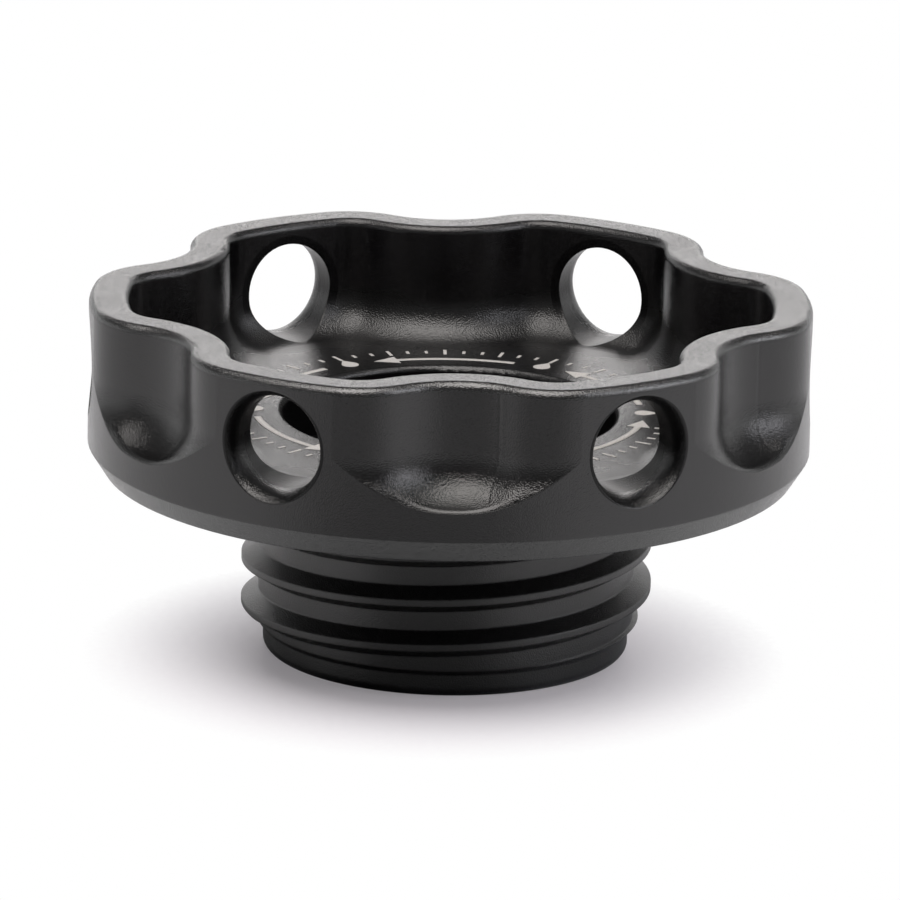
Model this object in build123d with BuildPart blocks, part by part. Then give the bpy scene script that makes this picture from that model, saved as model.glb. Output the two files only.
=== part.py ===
from build123d import *
import os
from math import cos, hypot, radians, sin, tan

# Screw-in oil filler cap: one machined cap with a scalloped cup grip, and its sealing ring.
# Millimetres, +Z up. The origin is the centre of the flat face under the plug.

# Plug and thread
thread_diameter = 35.6      # over the crests of a coarse right-hand screw
thread_pitch = 4.0
thread_depth = 1.5          # crest to root
thread_angle = 60.0         # between the flanks
crest_width = 0.6           # flat left on each crest
nose_step = 0.45            # the plain nose is this much smaller in radius than the thread root
nose_length = 2.0           # plain length below the lead cone
nose_round = 0.8            # round at the nose's bottom edge
lead_angle = 45.0           # slope of the cone that leads into the thread
thread_length = 9.4         # full crests, between the lead cone and the neck
neck_step = 0.15            # the neck is this much smaller in radius than the thread root
neck_length = 3.0           # plain neck between the thread and the flange

# Sealing ring and its seat, sunk into the flange around the neck
ring_section = 3.53         # diameter of the ring's round section
ring_neck_gap = 0.12        # clearance between neck and ring
ring_wall_gap = 0.25        # clearance between ring and the seat's outer wall
ring_floor_gap = 0.02       # clearance between ring and the seat's floor
ring_proud = 0.9            # how far the free ring stands out of its seat
seat_web = 2.1              # metal between the ring's seat and the pocket floor

# Grip head
head_diameter = 62.5        # over the lobes
chamfer_width = 1.27        # lower edge of the head, measured along the radius
chamfer_height = 1.98       # lower edge of the head, measured along the axis
band_height = 2.55          # plain band between that chamfer and the foot of the scallops
scallop_count = 6           # finger scallops, with one lobe between each pair
scallop_depth = 4.0         # from the lobes to the deepest line of a scallop
scallop_radius = 8.0        # hollow of a scallop, seen from above
scallop_foot = 4.3          # round at the foot of a scallop
turning_allowance = 0.01    # the milled outline runs out this far beyond the turned lobes
wall = 3.5                  # grip wall, the same all the way round
pocket_depth = 10.1         # from the rim to the pocket floor
pocket_foot = 3.4           # round between pocket wall and pocket floor
pocket_corner_extra = 0.4   # upright corners of the pocket are this much larger than its foot
rim_outer_round = 0.75
rim_inner_round = 0.65

# Openings in the head
hole_diameter = 8.3         # one radial hole through each lobe
hole_rim_land = 1.75        # metal between the rim and the hole
hole_mouth_diameter = 9.85  # each hole flares out to this on the outside of its lobe
hole_flare_depth = 1.8      # how far the flare reaches into the wall
plug_wall = 1.9             # between the thread root and the central bore
bore_depth = 10.5           # from the pocket floor to the floor of the bore
bore_round = 0.5            # round at the mouth of the bore
hex_across_flats = 17.0     # drive socket in the floor of the bore
hex_depth = 6.5
hex_lead = 0.6              # chamfer at the mouth of the socket

# Radii and angles that follow from the driving sizes
crest_radius = thread_diameter / 2
root_radius = crest_radius - thread_depth
nose_radius = root_radius - nose_step
neck_radius = root_radius - neck_step
bore_radius = root_radius - plug_wall
head_radius = head_diameter / 2
ring_inner_radius = neck_radius + ring_neck_gap
ring_radius = ring_inner_radius + ring_section / 2
seat_radius = ring_inner_radius + ring_section + ring_wall_gap
pocket_corner = pocket_foot + pocket_corner_extra
lobe_blend = pocket_corner + wall
scallop_ring = head_radius - scallop_depth + scallop_radius
scallop_turn = 180 / scallop_count    # degrees from the middle of a lobe to the middle of a scallop

# Heights above the plug's bottom face
lead_top = nose_length + (crest_radius - nose_radius) / tan(radians(lead_angle))
neck_bottom = lead_top + thread_length
underside = neck_bottom + neck_length
seat_floor = underside + ring_section - ring_proud + ring_floor_gap
pocket_floor = seat_floor + seat_web
rim = pocket_floor + pocket_depth
chamfer_top = underside + chamfer_height
scallop_floor = chamfer_top + band_height
hole_height = rim - hole_rim_land - hole_diameter / 2
bore_floor = pocket_floor - bore_depth

# Lengths by which a cutting shape stands clear of the metal it cuts
clear = 1.0
groove_clear = 0.1


def grip_plane(height):
    """A level plane whose X axis points at the middle of a scallop."""
    turn = radians(scallop_turn)
    return Plane(origin=(0, 0, height), x_dir=(cos(turn), sin(turn), 0), z_dir=(0, 0, 1))


def draw_grip_outline(outline, inset):
    """Draw the grip as seen from above, moved inwards by inset, in the sketch that is open."""
    Circle(head_radius - inset)
    with PolarLocations(scallop_ring, scallop_count):
        Circle(scallop_radius + inset, mode=Mode.SUBTRACT)
    fillet(outline.vertices(), lobe_blend - inset)


def distance_from_axis(edge):
    """How far the middle of an edge lies from the cap's axis."""
    middle = edge.position_at(0.5)
    return hypot(middle.X, middle.Y)


# The milled form of the head: a wide foot that flares out of the scalloped outline, round at the rim.
# Only what lies inside the turned blank is kept.
with BuildPart() as grip_form:
    with BuildSketch(Plane.XY.offset(-clear)) as foot_disc:
        Circle(head_radius + 2 * scallop_foot)
    extrude(amount=scallop_floor + clear)
    with BuildSketch(grip_plane(scallop_floor)) as upper_outline:
        draw_grip_outline(upper_outline, -turning_allowance)
    extrude(amount=rim - scallop_floor)
    fillet(grip_form.faces().sort_by(Axis.Z)[-1].edges(), rim_outer_round)
    foot_edges = grip_form.edges().filter_by_position(Axis.Z, scallop_floor, scallop_floor)
    fillet(foot_edges.filter_by(lambda edge: distance_from_axis(edge) < head_radius + clear), scallop_foot)

# The cutter for the cup-shaped pocket, with its round foot.
with BuildPart() as pocket_form:
    with BuildSketch(grip_plane(pocket_floor)) as pocket_outline:
        draw_grip_outline(pocket_outline, wall)
    extrude(amount=pocket_depth + clear)
    fillet(pocket_form.faces().sort_by(Axis.Z)[0].edges(), pocket_foot)

# The cutter for one radial hole: a plain bore that flares out on the outside, as a form cutter leaves it.
with BuildPart() as hole_form:
    hole_start = head_radius - wall - pocket_foot
    hole_top = hole_height + hole_diameter / 2
    mouth_top = hole_height + hole_mouth_diameter / 2
    with BuildSketch(Plane.XZ) as hole_section:
        with BuildLine() as hole_line:
            bore_line = Polyline(
                (hole_start, hole_height),
                (hole_start, hole_top),
                (head_radius - hole_flare_depth, hole_top),
            )
            flare = TangentArc(bore_line @ 1, (head_radius, mouth_top), tangent=(1, 0))
            flare_end = Line(flare @ 1, flare @ 1 + clear * (flare % 1))
            Polyline(flare_end @ 1, ((flare_end @ 1).X, hole_height), (hole_start, hole_height))
        make_face()
    revolve(axis=Axis((0, 0, hole_height), (1, 0, 0)))

# Cap body: the turned blank, its pocket and radial holes, then the grip, the thread and the central bore.
# The blank's section lies in a scallop, so that the seam of its round faces is clear of the holes.
with BuildPart() as cap_body:
    with BuildSketch(Plane.XZ.rotated((0, 0, scallop_turn))) as blank_section:
        with BuildLine() as blank_line:
            Polyline(
                (0, 0),
                (nose_radius, 0),
                (nose_radius, nose_length),
                (crest_radius, lead_top),
                (crest_radius, neck_bottom),
                (neck_radius, neck_bottom),
                (neck_radius, seat_floor),
                (seat_radius, seat_floor),
                (seat_radius, underside),
                (head_radius - chamfer_width, underside),
                (head_radius, chamfer_top),
                (head_radius, rim + clear),
                (0, rim + clear),
                close=True,
            )
        make_face()
    revolve(axis=Axis.Z)
    add(pocket_form.part, mode=Mode.SUBTRACT)

    # One radial hole for the middle of each lobe, made while the outside is still a plain cylinder.
    for index in range(scallop_count):
        add(hole_form.part, rotation=(0, 0, 2 * scallop_turn * index), mode=Mode.SUBTRACT)

    # The grip is milled around the holes, then the inner rim and the nose are rounded.
    add(grip_form.part, mode=Mode.INTERSECT)
    rim_face = cap_body.faces().sort_by(Axis.Z)[-1]
    fillet(rim_face.inner_wires()[0].edges(), rim_inner_round)
    fillet(cap_body.edges().group_by(Axis.Z)[0], nose_round)

    # Thread groove, swept along a helix that starts below the nose and ends beside the neck.
    flank = tan(radians(thread_angle / 2))
    root_width = thread_pitch - crest_width - 2 * thread_depth * flank
    groove_top = crest_radius + groove_clear
    groove_width = root_width + 2 * (groove_top - root_radius) * flank
    with BuildLine() as groove_path:
        Helix(pitch=thread_pitch, height=neck_bottom + groove_width / 2 + groove_clear, radius=root_radius)
    with BuildSketch(Plane.XZ) as groove_section:
        with BuildLine() as groove_line:
            Polyline(
                (root_radius, -root_width / 2),
                (groove_top, -groove_width / 2),
                (groove_top, groove_width / 2),
                (root_radius, root_width / 2),
                close=True,
            )
        make_face()
    sweep(path=groove_path.line, is_frenet=True, mode=Mode.SUBTRACT)

    # Central bore with a hexagon socket in its floor.
    with BuildSketch(Plane.XY.offset(pocket_floor)) as bore_outline:
        Circle(bore_radius)
    extrude(amount=-bore_depth, mode=Mode.SUBTRACT)
    bore_mouth = cap_body.edges(Select.LAST).group_by(Axis.Z)[-1]
    fillet(bore_mouth, bore_round)
    with BuildSketch(Plane.XY.offset(bore_floor)) as hex_outline:
        RegularPolygon(radius=hex_across_flats / 2, side_count=6, major_radius=False)
    extrude(amount=-hex_depth, mode=Mode.SUBTRACT)
    hex_mouth = cap_body.edges(Select.LAST).group_by(Axis.Z)[-1]
    chamfer(hex_mouth, hex_lead)

# Sealing ring: a round rubber ring that sits around the neck and stands a little out of its seat.
with BuildPart() as seal_ring:
    ring_centre_height = underside - ring_proud + ring_section / 2
    with BuildSketch(Plane.XZ) as ring_outline:
        with Locations((ring_radius, ring_centre_height)):
            Circle(ring_section / 2)
    revolve(axis=Axis.Z)

os.makedirs("parts", exist_ok=True)
cap_body.part.label = "cap_body"
export_step(cap_body.part, "parts/cap_body.step")
seal_ring.part.label = "seal_ring"
export_step(seal_ring.part, "parts/seal_ring.step")
print(f"height {rim:.2f} mm, flange underside at {underside:.2f} mm, pocket floor at {pocket_floor:.2f} mm")
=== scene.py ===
# %% [markdown]
# # A screw-in oil filler cap
# The cap is turned and milled from one bar of aluminium, bead-blasted and dyed black, with a rubber
# sealing ring under its flange. The CAD model already has the exact shape, so it is loaded as a fixed
# frame. This script gives it its finishes, the etched marks in its cup, a studio and a camera.

# %% Load the frame
import math

import bpy
from mathutils import Matrix, Vector


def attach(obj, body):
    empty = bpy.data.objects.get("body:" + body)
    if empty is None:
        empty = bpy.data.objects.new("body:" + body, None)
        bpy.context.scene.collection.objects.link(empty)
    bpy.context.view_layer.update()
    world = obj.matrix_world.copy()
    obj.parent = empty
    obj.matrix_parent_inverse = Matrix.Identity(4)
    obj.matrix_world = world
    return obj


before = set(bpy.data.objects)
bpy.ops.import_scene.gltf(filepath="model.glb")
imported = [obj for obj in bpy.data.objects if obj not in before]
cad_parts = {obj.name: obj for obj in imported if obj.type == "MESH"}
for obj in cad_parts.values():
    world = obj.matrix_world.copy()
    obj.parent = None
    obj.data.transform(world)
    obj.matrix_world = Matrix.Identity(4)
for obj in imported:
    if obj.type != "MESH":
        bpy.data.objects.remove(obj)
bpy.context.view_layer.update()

MM = 0.001
cap_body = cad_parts["cap_body"]
seal_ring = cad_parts["seal_ring"]

# %% [markdown]
# ## The camera
# A product photographer stands well back with a long lens, so that the round flange looks calm and the
# far rim is hardly smaller than the near one. The camera stands a metre away, a little above the rim,
# and leans by about one degree. A matrix sets its place, aim and lean in one step.

# %% Camera at the photograph's place
camera_data = bpy.data.cameras.new("portrait_camera")
camera_data.sensor_width = 36.0
camera_data.lens = 461.5
camera_data.clip_start = 0.05
camera_data.clip_end = 20.0
camera = bpy.data.objects.new("portrait_camera", camera_data)
bpy.context.scene.collection.objects.link(camera)

camera_place = Vector((-23.15, -960.9, 290.97)) * MM
camera_aim = Vector((0.14, 0.0, 17.57)) * MM
camera_lean = math.radians(1.08)
look = (camera_aim - camera_place).to_track_quat("-Z", "Y").to_matrix().to_4x4()
camera.matrix_world = Matrix.Translation(camera_place) @ look @ Matrix.Rotation(camera_lean, 4, "Z")
bpy.context.scene.camera = camera
print("camera distance in mm:", round((camera_aim - camera_place).length / MM, 1))

# %% [markdown]
# ## Small helpers for node trees
# Every finish below is a tree of shader nodes. They could be added by hand in Blender's editor, but a
# script can be read and repeated. A few short helpers keep it readable: they add a node, a sum, a
# product, a fade between two limits, a noise or a ramp of colours, and they start a new material.


# %% Helpers that add a node or a sum
def add_node(tree, kind, **inputs):
    """Add a node and set its inputs by name, with underscores for spaces."""
    node = tree.nodes.new(kind)
    for name, value in inputs.items():
        node.inputs[name.replace("_", " ")].default_value = value
    return node


def add_math(tree, operation, first, second=None, third=None):
    """Add a Math node on sockets or numbers and return its result."""
    node = tree.nodes.new("ShaderNodeMath")
    node.operation = operation
    for socket, value in zip(node.inputs, (first, second, third)):
        if isinstance(value, bpy.types.NodeSocket):
            tree.links.new(value, socket)
        elif value is not None:
            socket.default_value = value
    return node.outputs[0]


def add_product(tree, first, *others):
    """Multiply any number of sockets or numbers and return the product."""
    for other in others:
        first = add_math(tree, "MULTIPLY", first, other)
    return first


def add_split(tree, vector):
    """Split a vector into its X, Y and Z sockets."""
    node = tree.nodes.new("ShaderNodeSeparateXYZ")
    tree.links.new(vector, node.inputs["Vector"])
    return node.outputs["X"], node.outputs["Y"], node.outputs["Z"]


print("helpers for nodes, sums, products and splits")


# %% Helpers that add a fade, a ramp or a noise
def add_fade(tree, value, low, high, start=0.0, end=1.0):
    """Go from start to end while value goes from low to high, and stay there beyond both."""
    node = add_node(tree, "ShaderNodeMapRange", From_Min=low, From_Max=high, To_Min=start, To_Max=end)
    tree.links.new(value, node.inputs["Value"])
    return node.outputs["Result"]


def add_ramp(tree, value, stops):
    """Add a colour ramp with the given (position, colour) stops, in rising order."""
    node = tree.nodes.new("ShaderNodeValToRGB")
    elements = node.color_ramp.elements
    while len(elements) < len(stops):
        elements.new(1.0)
    for element, (position, colour) in zip(elements, stops):
        element.position = position
        element.color = (*colour, 1.0)
    tree.links.new(value, node.inputs["Fac"])
    return node.outputs["Color"]


def add_noise(tree, place, scale, detail):
    """Add a noise texture at a place and return its grey value."""
    node = add_node(tree, "ShaderNodeTexNoise", Scale=scale, Detail=detail)
    tree.links.new(place, node.inputs["Vector"])
    return node.outputs["Fac"]


print("helpers for fades, ramps and noise")


# %% Helper that starts a finish
def new_finish(name):
    """A material with an empty tree, its Principled shader and its output."""
    finish = bpy.data.materials.new(name)
    finish.use_nodes = True
    tree = finish.node_tree
    tree.nodes.clear()
    shader = tree.nodes.new("ShaderNodeBsdfPrincipled")
    output = tree.nodes.new("ShaderNodeOutputMaterial")
    tree.links.new(shader.outputs["BSDF"], output.inputs["Surface"])
    return finish, tree, shader


print("materials so far:", len(bpy.data.materials))

# %% [markdown]
# ## Black anodised aluminium
# Bead-blasting leaves a skin of tiny dents, and the dyed oxide on top is a hard, satin black layer. The
# light that it returns is almost all gloss: dark where it faces us, bright where it is seen at a slant.
# A photographed texture could be wrapped around the cap, but it would fix the light and the scale. A
# black Principled shader gives the gloss by its Fresnel reflection. The next cells build it up: first a
# way to tell where on the cap a point lies, then the tool marks, the grain, the gloss and the dye.

# %% Where on the cap
OXIDE_IOR = 1.6
LOBE_ANGLE = math.radians(60)

anodised, tree, shader = new_finish("black_anodised_blasted")
shader.inputs["IOR"].default_value = OXIDE_IOR
place = tree.nodes.new("ShaderNodeTexCoord").outputs["Object"]
facing = tree.nodes.new("ShaderNodeTexCoord").outputs["Normal"]
x, y, height = add_split(tree, place)
facing_x, facing_y, facing_z = add_split(tree, facing)

radius = add_math(tree, "SQRT", add_math(tree, "ADD", add_product(tree, x, x), add_product(tree, y, y)))
bearing = add_math(tree, "ARCTAN2", y, x)
outward = add_math(tree, "ADD", add_product(tree, facing_x, x), add_product(tree, facing_y, y))


def add_turn(tree, bearing):
    """The angle from the middle of the nearest sixth of the cap, with a sixth starting at zero."""
    within = add_math(tree, "FLOORED_MODULO", bearing, LOBE_ANGLE)
    return add_math(tree, "SUBTRACT", within, LOBE_ANGLE / 2)


scallop_turn = add_turn(tree, bearing)
lobe_turn = add_turn(tree, add_math(tree, "ADD", bearing, LOBE_ANGLE / 2))
print("finish:", anodised.name, "so far with", len(tree.nodes), "nodes")

# %% [markdown]
# ## Tool marks in the scallops
# The lower edge of each scallop is broken by hand, so its last strip rolls over and catches the light.
# The milling cutter also paused once in each scallop and left a faint upright crease that bends at the
# foot. Both could be modelled, but they are far smaller than the shape, so a Bump node draws them. It
# stands on a Bevel node, which rounds every sharp edge a little, as blasting does.

# %% Broken lip
HEAD_RADIUS = 31.25 * MM
LIP_WIDTH = 0.75 * MM
LIP_ROLL = 0.55
LIP_SPREAD = (math.radians(9), math.radians(14))
LIP_SLOPES = (0.45, 0.85)
LIP_BELOW = 27.0 * MM

from_middle = add_math(tree, "ABSOLUTE", scallop_turn)
in_middle = add_fade(tree, from_middle, *LIP_SPREAD, start=1.0, end=0.0)
past = add_math(tree, "MAXIMUM", add_math(tree, "SUBTRACT", radius, HEAD_RADIUS - LIP_WIDTH), 0.0)
roll = add_product(tree, past, past, -LIP_ROLL / LIP_WIDTH)
facing_up = add_fade(tree, facing_z, *LIP_SLOPES)
on_foot = add_product(tree, facing_up, add_math(tree, "LESS_THAN", height, LIP_BELOW))
lip = add_product(tree, roll, in_middle, on_foot)
print("lip width in mm:", round(LIP_WIDTH / MM, 2))

# %% Milling crease
CREASE_WIDTH = 0.15 * MM
CREASE_DEPTH = 0.026 * MM
BEND_HEIGHTS = (22.0 * MM, 24.5 * MM)
BEND_ASIDE = (2.75 * MM, 3.6 * MM)
WALL_RADIUS = 28.9 * MM
WALL_REACH = 2.25 * MM
WALL_HEIGHT = 26.0 * MM
WALL_RISE = 4.5 * MM

aside = add_product(tree, radius, add_math(tree, "SINE", scallop_turn))
bend = add_fade(tree, height, *BEND_HEIGHTS, *BEND_ASIDE)
off = add_math(tree, "DIVIDE", add_math(tree, "SUBTRACT", aside, bend), CREASE_WIDTH)
dip = add_math(tree, "EXPONENT", add_product(tree, off, off, -1.0))
outside = add_math(tree, "COMPARE", radius, WALL_RADIUS, WALL_REACH)
on_wall = add_product(tree, outside, add_math(tree, "COMPARE", height, WALL_HEIGHT, WALL_RISE))
crease = add_product(tree, dip, -CREASE_DEPTH, on_wall)
print("crease depth in mm:", round(CREASE_DEPTH / MM, 3))

# %% Both marks on softened edges
EDGE_ROUND = 0.25 * MM

soft_edge = add_node(tree, "ShaderNodeBevel", Radius=EDGE_ROUND)
soft_edge.samples = 6
tooling = add_node(tree, "ShaderNodeBump", Strength=1.0, Distance=1.0)
tree.links.new(add_math(tree, "ADD", lip, crease), tooling.inputs["Height"])
tree.links.new(soft_edge.outputs["Normal"], tooling.inputs["Normal"])
print("edges rounded by mm:", EDGE_ROUND / MM)

# %% [markdown]
# ## Blasted grain
# The beads leave dents of about a tenth of a millimetre. Modelled dents would need millions of faces,
# so noise drives a second Bump node. Beads strike a rounded edge from many sides, so the grain is
# strongest on slopes, and weaker on upright and level faces.

# %% Grain of the blasting
DENTS_PER_METRE = 8200.0
DENT_DEPTH = 0.046 * MM
GRAIN_BY_SLOPE = ((0.05, 0.45), (0.85, 1.0), (0.97, 0.55), (1.0, 0.5))

fine_dents = add_noise(tree, place, scale=DENTS_PER_METRE, detail=0.0)
slope = add_math(tree, "ABSOLUTE", facing_z)
blasted = add_ramp(tree, slope, [(at, (grain, grain, grain)) for at, grain in GRAIN_BY_SLOPE])
dents = add_node(tree, "ShaderNodeBump", Distance=DENT_DEPTH)
tree.links.new(blasted, dents.inputs["Strength"])
tree.links.new(fine_dents, dents.inputs["Height"])
tree.links.new(tooling.outputs["Normal"], dents.inputs["Normal"])
tree.links.new(dents.outputs["Normal"], shader.inputs["Normal"])
print("dent depth in mm:", DENT_DEPTH / MM)

# %% [markdown]
# ## Satin gloss
# Handling varies the roughness a little, which a slow noise gives. The threaded plug is left as it was
# turned, so it is rougher, and so are the cup's corners, where the beads bounce about. A painted map
# could hold all this, but the place on the cap already says where each one belongs.

# %% Roughness
SATIN = (0.21, 0.26)
PLUG_TOP = 16.3 * MM
PLUG_EXTRA = 0.12
CUP_TURNS_OUT = 3.0 * MM
CUP_FADE = (23.0 * MM, 26.0 * MM)
CUP_RADIUS = 28.8 * MM
CUP_BOTTOM = 20.6 * MM
CORNER_RADII = (22.0 * MM, 25.5 * MM)
CORNER_EXTRA = (0.02, 0.1)

handling = add_noise(tree, place, scale=220.0, detail=3.0)
satin = add_fade(tree, handling, 0.3, 0.7, *SATIN)
on_plug = add_math(tree, "LESS_THAN", height, PLUG_TOP)
roughness = add_math(tree, "MULTIPLY_ADD", on_plug, PLUG_EXTRA, satin)
in_cup = add_product(
    tree,
    add_fade(tree, outward, 0.0, CUP_TURNS_OUT, start=1.0, end=0.0),
    add_fade(tree, height, *CUP_FADE, start=1.0, end=0.0),
    add_math(tree, "LESS_THAN", radius, CUP_RADIUS),
    add_math(tree, "GREATER_THAN", height, CUP_BOTTOM),
)
to_corner = add_fade(tree, radius, *CORNER_RADII, *CORNER_EXTRA)
roughness = add_math(tree, "MULTIPLY_ADD", in_cup, to_corner, roughness)
tree.links.new(roughness, shader.inputs["Roughness"])
print("satin roughness:", SATIN)

# %% [markdown]
# ## Shine and dye
# The sides of the radial holes get painted shade: their shine is turned down. The outer round of the
# rim gets a painted highlight: its shine is turned up. The dye itself is almost black, and slightly
# paler on the crests of the grain. One shader with a varying shine keeps all this in a single finish.

# %% Holes duller, as painted shade
PLAIN_SHINE = 0.5
HOLE_PAINTED_SHADE = -0.32
HOLE_HEIGHT = 25.3 * MM
HOLE_REACH = 4.9 * MM
HOLE_INNER_END = 24.5 * MM
UPRIGHT_SLOPES = (0.1, 0.6)

hole_aside = add_product(tree, radius, add_math(tree, "SINE", lobe_turn))
hole_rise = add_math(tree, "SUBTRACT", height, HOLE_HEIGHT)
from_hole_axis = add_math(
    tree, "ADD", add_product(tree, hole_aside, hole_aside), add_product(tree, hole_rise, hole_rise)
)
painted_shade_in_hole = add_product(
    tree,
    add_math(tree, "LESS_THAN", from_hole_axis, HOLE_REACH ** 2),
    add_math(tree, "GREATER_THAN", radius, HOLE_INNER_END),
    add_fade(tree, facing_z, *UPRIGHT_SLOPES, start=1.0, end=0.0),
)
# Painted shade: the shine is turned down on the sides of the holes.
shine = add_math(tree, "MULTIPLY_ADD", painted_shade_in_hole, HOLE_PAINTED_SHADE, PLAIN_SHINE)
print("shine of the holes:", round(PLAIN_SHINE + HOLE_PAINTED_SHADE, 2))

# %% Painted highlight on the rim, and the dye
RIM_PAINTED_HIGHLIGHT = 0.42
RIM_ROUND_FROM = 30.45 * MM
SLOPING = (0.12, 0.4)
LEVEL = (0.88, 0.995)
DYE_IN_DENTS = (0.0005, 0.0004, 0.0005)
DYE_ON_CRESTS = (0.0045, 0.0042, 0.0045)

painted_highlight_on_rim = add_product(
    tree,
    add_math(tree, "GREATER_THAN", outward, 0.0),
    add_math(tree, "SUBTRACT", add_fade(tree, facing_z, *SLOPING), add_fade(tree, facing_z, *LEVEL)),
    add_math(tree, "GREATER_THAN", height, RIM_ROUND_FROM),
)
# Painted highlight: the shine is turned up on the outer round of the rim.
shine = add_math(tree, "MULTIPLY_ADD", painted_highlight_on_rim, RIM_PAINTED_HIGHLIGHT, shine)
tree.links.new(shine, shader.inputs["Specular IOR Level"])
dye = add_ramp(tree, fine_dents, [(0.3, DYE_IN_DENTS), (0.7, DYE_ON_CRESTS)])
tree.links.new(dye, shader.inputs["Base Color"])
cap_body.material_slots[0].material = anodised
print("finish:", anodised.name, "with", len(tree.nodes), "nodes")

# %% [markdown]
# ## Nitrile rubber
# The sealing ring is moulded in black rubber: matt, slightly greyer than the cap, with a soft mottle.
# A fine noise between two dark greys is enough, because the ring is small and mostly hidden.

# %% Finish for the sealing ring
DARK_RUBBER = (0.012, 0.012, 0.012)
PALE_RUBBER = (0.024, 0.023, 0.022)

rubber, tree, shader = new_finish("nitrile_rubber")
place = tree.nodes.new("ShaderNodeTexCoord").outputs["Object"]
mottle = add_noise(tree, place, scale=900.0, detail=4.0)
tone = add_ramp(tree, mottle, [(0.0, DARK_RUBBER), (1.0, PALE_RUBBER)])
tree.links.new(tone, shader.inputs["Base Color"])
shader.inputs["Roughness"].default_value = 0.62
seal_ring.material_slots[0].material = rubber
print("finish:", rubber.name)

# %% [markdown]
# ## Etched marks
# A laser burns the black dye away and leaves pale marks on the cup's floor: a ring of fine ticks, and
# inside it a turning arrow and a drop for every lobe. They could be painted on with a texture, but thin
# real shapes stay sharp at any distance. Each kind of mark is made once and repeated around the axis by
# a Geometry Nodes tree, so one number changes the whole ring.

# %% Finish for the etched marks
SCORCHED = (0.36, 0.35, 0.34)
BARE_METAL = (0.62, 0.60, 0.58)

etched, tree, shader = new_finish("laser_etched_aluminium")
place = tree.nodes.new("ShaderNodeTexCoord").outputs["Object"]
burn = add_noise(tree, place, scale=9000.0, detail=2.0)
pale = add_ramp(tree, burn, [(0.3, SCORCHED), (0.7, BARE_METAL)])
tree.links.new(pale, shader.inputs["Base Color"])
shader.inputs["Roughness"].default_value = 0.55
print("finish:", etched.name)


# %% Helpers for repeated marks
CUP_FLOOR = 21.10 * MM
MARK_DEPTH = 0.02 * MM
MARK_LIFT = 0.7 * MARK_DEPTH


def new_ring_tree(name, sizes):
    """A Geometry Nodes tree with one named number input for each size."""
    tree = bpy.data.node_groups.new(name, "GeometryNodeTree")
    tree.interface.new_socket("Geometry", in_out="OUTPUT", socket_type="NodeSocketGeometry")
    for size, value in sizes.items():
        kind = "NodeSocketInt" if isinstance(value, int) else "NodeSocketFloat"
        tree.interface.new_socket(size, in_out="INPUT", socket_type=kind)
    return tree, tree.nodes.new("NodeGroupInput").outputs, tree.nodes.new("NodeGroupOutput")


def lay_on_floor(tree, marks, result, finish):
    """End a tree: real geometry, pressed flat onto the cup's floor, in its finish."""
    real = tree.nodes.new("GeometryNodeRealizeInstances")
    flat = tree.nodes.new("GeometryNodeTransform")
    flat.inputs["Scale"].default_value = (1.0, 1.0, MARK_DEPTH / MM)
    flat.inputs["Translation"].default_value = (0.0, 0.0, CUP_FLOOR + MARK_LIFT)
    coat = tree.nodes.new("GeometryNodeSetMaterial")
    coat.inputs["Material"].default_value = finish
    tree.links.new(marks, real.inputs["Geometry"])
    tree.links.new(real.outputs["Geometry"], flat.inputs["Geometry"])
    tree.links.new(flat.outputs["Geometry"], coat.inputs["Geometry"])
    tree.links.new(coat.outputs["Geometry"], result.inputs["Geometry"])


def make_marks(name, tree, sizes):
    """Run a tree once and keep its result as a plain mesh that rides on the cap."""
    maker = bpy.data.objects.new(name + "_maker", bpy.data.meshes.new(name + "_maker"))
    bpy.context.scene.collection.objects.link(maker)
    modifier = maker.modifiers.new("ring", "NODES")
    modifier.node_group = tree
    for item in tree.interface.items_tree:
        if item.in_out == "INPUT":
            modifier[item.identifier] = sizes[item.name]
    bpy.context.view_layer.update()
    seen = maker.evaluated_get(bpy.context.evaluated_depsgraph_get())
    marks = bpy.data.objects.new(name, bpy.data.meshes.new_from_object(seen))
    bpy.context.scene.collection.objects.link(marks)
    bpy.data.objects.remove(maker)
    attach(marks, "root")
    print(name, "has", len(marks.data.polygons), "faces")


print("etching depth in mm:", MARK_DEPTH / MM)

# %% [markdown]
# ## Ring of ticks
# A scale like this is etched one stroke at a time. The tree puts one thin box on every point of a
# circle and turns it outwards. Every third tick keeps its full length and the others are half as long.
# An array of copies could do the same, but then the two lengths would need two arrays.

# %% Ticks on a circle
LONG_EVERY = 3.0
SHORT_TICK = 0.5

tick_sizes = {"Ticks": 72, "Ring Radius": 19.0 * MM, "Tick Length": 1.5 * MM, "Tick Width": 0.28 * MM}
tree, sizes_in, result = new_ring_tree("tick_ring", tick_sizes)
ring = tree.nodes.new("GeometryNodeMeshCircle")
tree.links.new(sizes_in["Ticks"], ring.inputs["Vertices"])
tree.links.new(sizes_in["Ring Radius"], ring.inputs["Radius"])
tick_box = add_node(tree, "ShaderNodeCombineXYZ", Z=MM)
tree.links.new(sizes_in["Tick Length"], tick_box.inputs["X"])
tree.links.new(sizes_in["Tick Width"], tick_box.inputs["Y"])
tick = tree.nodes.new("GeometryNodeMeshCube")
tree.links.new(tick_box.outputs["Vector"], tick.inputs["Size"])

point_out = tree.nodes.new("FunctionNodeAlignRotationToVector")
point_out.axis = "X"
spot = tree.nodes.new("GeometryNodeInputPosition").outputs["Position"]
tree.links.new(spot, point_out.inputs["Vector"])
number = tree.nodes.new("GeometryNodeInputIndex").outputs["Index"]
is_long = add_math(tree, "LESS_THAN", add_math(tree, "FLOORED_MODULO", number, LONG_EVERY), 0.5)
length = add_node(tree, "ShaderNodeCombineXYZ", Y=1.0, Z=1.0)
tree.links.new(add_math(tree, "MULTIPLY_ADD", is_long, 1.0 - SHORT_TICK, SHORT_TICK), length.inputs["X"])

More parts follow.
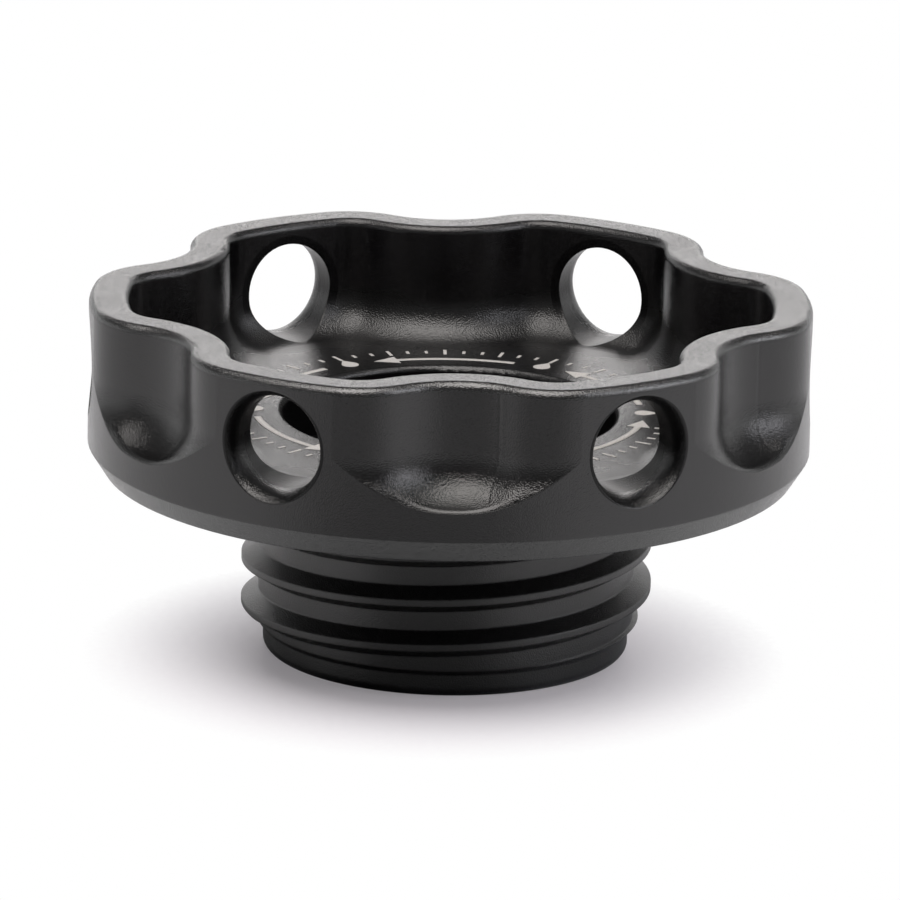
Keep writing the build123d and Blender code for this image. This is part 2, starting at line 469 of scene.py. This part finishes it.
ticks = tree.nodes.new("GeometryNodeInstanceOnPoints")
tree.links.new(ring.outputs["Mesh"], ticks.inputs["Points"])
tree.links.new(tick.outputs["Mesh"], ticks.inputs["Instance"])
tree.links.new(point_out.outputs["Rotation"], ticks.inputs["Rotation"])
tree.links.new(length.outputs["Vector"], ticks.inputs["Scale"])
lay_on_floor(tree, ticks.outputs["Instances"], result, etched)
make_marks("etched_ticks", tree, tick_sizes)

# %% [markdown]
# ## Turning arrows and drops
# An arrow shows which way the cap turns, and a drop stands for the oil. The arrow's line is a bar swept
# along an arc, and its head is a cylinder with three corners. The drop is a round cylinder with another
# three-cornered one as its tip, set so that the tip's sides run smoothly into the round. Both could be
# drawn as outlines and filled, but simple solids need no drawing.

# %% Line of the arrow
ARROW_START = math.radians(9)
ARROW_SWEEP = math.radians(36)

arrow_sizes = {
    "Lobes": 6,
    "Ring Radius": 16.8 * MM,
    "Line Width": 0.6 * MM,
    "Head Radius": 1.3 * MM,
    "Drop Radius": 0.75 * MM,
}
tree, sizes_in, result = new_ring_tree("arrow_ring", arrow_sizes)
on_ring = sizes_in["Ring Radius"]
arc = add_node(
    tree, "GeometryNodeCurveArc", Resolution=24, Start_Angle=ARROW_START, Sweep_Angle=ARROW_SWEEP
)
tree.links.new(on_ring, arc.inputs["Radius"])
bar = add_node(tree, "GeometryNodeCurvePrimitiveQuadrilateral", Height=MM)
tree.links.new(sizes_in["Line Width"], bar.inputs["Width"])
line = add_node(tree, "GeometryNodeCurveToMesh", Fill_Caps=True)
tree.links.new(arc.outputs["Curve"], line.inputs["Curve"])
tree.links.new(bar.outputs["Curve"], line.inputs["Profile Curve"])
print("arrow sizes:", list(arrow_sizes))


# %% Head of the arrow, and the drop
HEAD_ANGLE = math.radians(9 + 36 + 2)
HEAD_STRETCH = (1.1, 0.9, 1.0)
TIP_SHIFT = 0.984
TIP_STRETCH = (0.916, 0.981, 1.0)
# The head and the tip are thicker than what they overlap, so that no two faces coincide.
OVERLAP_DEPTH = 1.2 * MM


def add_flat(tree, corners, depth, size):
    """Add an upright cylinder with some corners, whose radius is a named size."""
    flat = add_node(tree, "GeometryNodeMeshCylinder", Vertices=corners, Depth=depth)
    tree.links.new(size, flat.inputs["Radius"])
    return flat.outputs["Mesh"]


def place_mark(tree, mark, distance, angle=0.0, turn=0.0, stretch=(1.0, 1.0, 1.0)):
    """Put a mark at a distance from the axis and at an angle, turned and stretched."""
    spot = tree.nodes.new("ShaderNodeCombineXYZ")
    tree.links.new(add_math(tree, "MULTIPLY", distance, math.cos(angle)), spot.inputs["X"])
    tree.links.new(add_math(tree, "MULTIPLY", distance, math.sin(angle)), spot.inputs["Y"])
    moved = tree.nodes.new("GeometryNodeTransform")
    moved.inputs["Rotation"].default_value = (0.0, 0.0, turn)
    moved.inputs["Scale"].default_value = stretch
    tree.links.new(spot.outputs["Vector"], moved.inputs["Translation"])
    tree.links.new(mark, moved.inputs["Geometry"])
    return moved.outputs["Geometry"]


head = add_flat(tree, corners=3, depth=OVERLAP_DEPTH, size=sizes_in["Head Radius"])
drop = add_flat(tree, corners=28, depth=MM, size=sizes_in["Drop Radius"])
drop_tip = add_flat(tree, corners=3, depth=OVERLAP_DEPTH, size=sizes_in["Drop Radius"])
beyond = add_math(tree, "MULTIPLY_ADD", sizes_in["Drop Radius"], TIP_SHIFT, on_ring)
one_lobe = tree.nodes.new("GeometryNodeJoinGeometry")
for mark in (
    line.outputs["Mesh"],
    place_mark(tree, head, on_ring, HEAD_ANGLE, HEAD_ANGLE + math.pi / 2, HEAD_STRETCH),
    place_mark(tree, drop, on_ring),
    place_mark(tree, drop_tip, beyond, stretch=TIP_STRETCH),
):
    tree.links.new(mark, one_lobe.inputs["Geometry"])
print("marks in one lobe:", len(one_lobe.inputs["Geometry"].links))

# %% The same for every lobe
lobes = tree.nodes.new("GeometryNodePoints")
tree.links.new(sizes_in["Lobes"], lobes.inputs["Count"])
step = add_math(tree, "DIVIDE", math.tau, sizes_in["Lobes"])
number = tree.nodes.new("GeometryNodeInputIndex").outputs["Index"]
around = tree.nodes.new("ShaderNodeCombineXYZ")
tree.links.new(add_math(tree, "MULTIPLY", number, step), around.inputs["Z"])
repeat = tree.nodes.new("GeometryNodeInstanceOnPoints")
tree.links.new(lobes.outputs["Points"], repeat.inputs["Points"])
tree.links.new(one_lobe.outputs["Geometry"], repeat.inputs["Instance"])
tree.links.new(around.outputs["Vector"], repeat.inputs["Rotation"])
lay_on_floor(tree, repeat.outputs["Instances"], result, etched)
make_marks("etched_arrows", tree, arrow_sizes)

# %% [markdown]
# ## The white floor
# A sheet of white paper fills the picture. It keeps the soft shadow around the plug and fades to plain
# white further out. A real studio gets that white with extra lamps behind the paper. Here the paper
# glows for the camera instead, so no more light falls on the cap.

# %% Floor disc, and where on it
FLOOR_RADIUS = 900.0 * MM
FLOOR_DROP = 0.02 * MM
SHADOW_OFFSET = (1.0 * MM, 3.2 * MM, 0.0)
CAMERA_SIDE = (-0.17, -0.985, 0.0)

bpy.ops.mesh.primitive_circle_add(vertices=96, radius=FLOOR_RADIUS, fill_type="NGON")
floor = bpy.context.object
floor.name = "white_floor"
floor.location.z = -FLOOR_DROP
sweep, tree, shader = new_finish("white_sweep")
shader.inputs["Roughness"].default_value = 0.55
shader.inputs["Specular IOR Level"].default_value = 0.15
floor.data.materials.append(sweep)


def add_vector_math(tree, operation, vector, other=(0.0, 0.0, 0.0)):
    """Add a Vector Math node and return its outputs, Vector and Value."""
    node = tree.nodes.new("ShaderNodeVectorMath")
    node.operation = operation
    tree.links.new(vector, node.inputs[0])
    node.inputs[1].default_value = other
    return node.outputs


position = tree.nodes.new("ShaderNodeTexCoord").outputs["Object"]
from_shadow = add_vector_math(tree, "ADD", position, SHADOW_OFFSET)["Vector"]
reach = add_vector_math(tree, "LENGTH", from_shadow)["Value"]
heading = add_vector_math(tree, "NORMALIZE", position)["Vector"]
sector = add_vector_math(tree, "DOT_PRODUCT", heading, CAMERA_SIDE)["Value"]
in_view = tree.nodes.new("ShaderNodeLightPath").outputs["Is Camera Ray"]
not_seen = add_math(tree, "SUBTRACT", 1.0, in_view)
print("floor radius in mm:", FLOOR_RADIUS / MM)

# %% [markdown]
# The camera sees the paper in a faint lilac shade. The cap's reflections see it too, and there it
# turns grey on the camera's side as painted shade, where the studio is dark.

# %% Colour of the paper
LILAC = (0.88, 0.835, 0.87, 1.0)
WHITE_PAPER = (0.86, 0.872, 0.90)
PAINTED_SHADE_PAPER = (0.19, 0.193, 0.2)
FRONT_SECTOR = (0.75, 0.95)
FRONT_REACH = (55.0 * MM, 110.0 * MM)
FRONT_DARKNESS = (0.95, 0.52)

# Painted shade: in reflections the paper is grey on the camera's side.
dark_front = add_product(
    tree,
    add_fade(tree, sector, *FRONT_SECTOR),
    add_fade(tree, reach, *FRONT_REACH, *FRONT_DARKNESS),
    not_seen,
)
paper = add_ramp(tree, dark_front, [(0.0, WHITE_PAPER), (1.0, PAINTED_SHADE_PAPER)])
shade = tree.nodes.new("ShaderNodeMix")
shade.data_type = "RGBA"
plain_colour, lilac_colour = (socket for socket in shade.inputs if socket.type == "RGBA")
paper_colour = next(socket for socket in shade.outputs if socket.type == "RGBA")
lilac_colour.default_value = LILAC
tree.links.new(in_view, shade.inputs["Factor"])
tree.links.new(paper, plain_colour)
tree.links.new(paper_colour, shader.inputs["Base Color"])
print("paper shade:", LILAC[:3])

# %% [markdown]
# The glow fades in around the shadow, with a slightly uneven edge as on real paper. In reflections only
# a ring around the plug glows, and only when it is seen steeply, which brightens the flange's lower
# edge. From below the floor is clear, so that it hides nothing.

# %% Glow of the paper
UNEVEN_BY = 2.4 * MM
SHADOW_REACH = (15.0 * MM, 30.5 * MM)
SHADOW_GLOW = 0.2
RING_INNER = (24.0 * MM, 31.0 * MM)
RING_OUTER = (34.0 * MM, 50.0 * MM)
STEEP = (0.3, 0.65)

paper_grain = add_noise(tree, position, scale=1400.0, detail=2.0)
uneven = add_math(tree, "MULTIPLY_ADD", paper_grain, UNEVEN_BY, -UNEVEN_BY / 2)
glow_reach = add_math(tree, "ADD", uneven, reach)
fade = add_fade(tree, glow_reach, *SHADOW_REACH, start=SHADOW_GLOW, end=1.0)
slant = add_node(tree, "ShaderNodeLayerWeight", Blend=0.5).outputs["Facing"]
reflected = add_product(
    tree,
    add_fade(tree, reach, *RING_INNER),
    add_math(tree, "SUBTRACT", 1.0, add_fade(tree, reach, *RING_OUTER)),
    add_fade(tree, slant, *STEEP, start=1.0, end=0.0),
)
whiteness = add_math(
    tree, "ADD", add_product(tree, in_view, fade), add_product(tree, not_seen, reflected)
)
print("glow starts at mm:", SHADOW_REACH[0] / MM)


# %% Paper and glow together
LILAC_GLOW = (0.98, 0.93, 0.99)
WHITE_GLOW = (1.0, 1.0, 1.0)


def add_mix(tree, factor, first, second):
    """Mix two shaders and return the result."""
    node = tree.nodes.new("ShaderNodeMixShader")
    for value, socket in zip((factor, first, second), node.inputs):
        tree.links.new(value, socket)
    return node.outputs["Shader"]


glow = add_node(tree, "ShaderNodeEmission", Strength=1.0)
tree.links.new(add_ramp(tree, fade, [(0.0, LILAC_GLOW), (1.0, WHITE_GLOW)]), glow.inputs["Color"])
from_below = tree.nodes.new("ShaderNodeNewGeometry").outputs["Backfacing"]
clear = tree.nodes.new("ShaderNodeBsdfTransparent").outputs["BSDF"]
surface = shader.outputs["BSDF"].links[0].to_socket
lit_paper = add_mix(tree, whiteness, shader.outputs["BSDF"], glow.outputs["Emission"])
tree.links.new(add_mix(tree, from_below, lit_paper, clear), surface)
print("floor finish:", sweep.name, "with", len(tree.nodes), "nodes")

# %% [markdown]
# ## The white room
# The world is white to the camera. In reflections it is white near the horizon and darker above and
# behind the camera, as a studio's ceiling and its unlit side are. A modelled room could do that too,
# but a world needs no walls. It gives hardly any light of its own, because the lamps do that.

# %% White world
WHITE = (1.0, 1.0, 1.0, 1.0)
ROOM_LIGHT = 0.08
CEILING_FROM = (0.22, 0.42)
CEILING_LIGHT = 0.2
UNLIT_SIDE = (-0.75, -0.2)
UNLIT_LIGHT = 0.35

world = bpy.data.worlds.new("white_room")
bpy.context.scene.world = world
world.use_nodes = True
tree = world.node_tree
tree.nodes.clear()
ray = tree.nodes.new("ShaderNodeLightPath").outputs
seen = add_math(tree, "MAXIMUM", ray["Is Camera Ray"], ray["Is Glossy Ray"])
seen = add_math(tree, "MAXIMUM", seen, ray["Is Transmission Ray"])

_, depth, rise = add_split(tree, tree.nodes.new("ShaderNodeTexCoord").outputs["Generated"])
mirrored = add_product(
    tree,
    add_fade(tree, rise, *CEILING_FROM, start=1.0, end=CEILING_LIGHT),
    add_fade(tree, depth, *UNLIT_SIDE, start=UNLIT_LIGHT, end=1.0),
)
room_light = add_node(tree, "ShaderNodeBackground", Color=WHITE, Strength=ROOM_LIGHT)
white_wall = add_node(tree, "ShaderNodeBackground", Color=WHITE)
tree.links.new(add_math(tree, "MAXIMUM", mirrored, ray["Is Camera Ray"]), white_wall.inputs["Strength"])
room = add_mix(tree, seen, room_light.outputs["Background"], white_wall.outputs["Background"])
tree.links.new(room, tree.nodes.new("ShaderNodeOutputWorld").inputs["Surface"])
print("world:", world.name)

# %% [markdown]
# ## Soft lamps
# A satin black part is lit by what it mirrors, so the lamps are large and soft. One hangs overhead, one
# stands at the right, and a low one behind draws the bright line of the rim. Each lamp is set by how
# bright its face looks, because that is what the cap shows.

# %% Three softboxes
CAP_MIDDLE = Vector((0.0, 0.0, 0.016))


def add_softbox(name, place, size, radiance, tint):
    """A soft rectangular lamp that faces the cap and looks as bright as radiance."""
    data = bpy.data.lights.new(name, "AREA")
    data.shape = "RECTANGLE"
    data.size, data.size_y = size
    data.energy = radiance * math.pi * size[0] * size[1]
    data.color = tint
    lamp = bpy.data.objects.new(name, data)
    bpy.context.scene.collection.objects.link(lamp)
    lamp.location = place
    lamp.rotation_euler = (CAP_MIDDLE - Vector(place)).to_track_quat("-Z", "Y").to_euler()
    lamp.visible_camera = False


add_softbox(
    "overhead_softbox", place=(-0.12, -0.22, 1.0), size=(0.96, 1.05), radiance=4.25, tint=(1.0, 0.96, 0.93)
)
add_softbox("side_panel", place=(0.80, -0.32, 0.53), size=(0.55, 0.5), radiance=3.3, tint=(0.95, 0.95, 1.0))
add_softbox("back_panel", place=(0.0, 1.3, 0.38), size=(0.8, 0.24), radiance=2.5, tint=(1.0, 0.96, 0.95))
bpy.context.scene.view_settings.view_transform = "Standard"
print("lamps:", [item.name for item in bpy.data.lights])
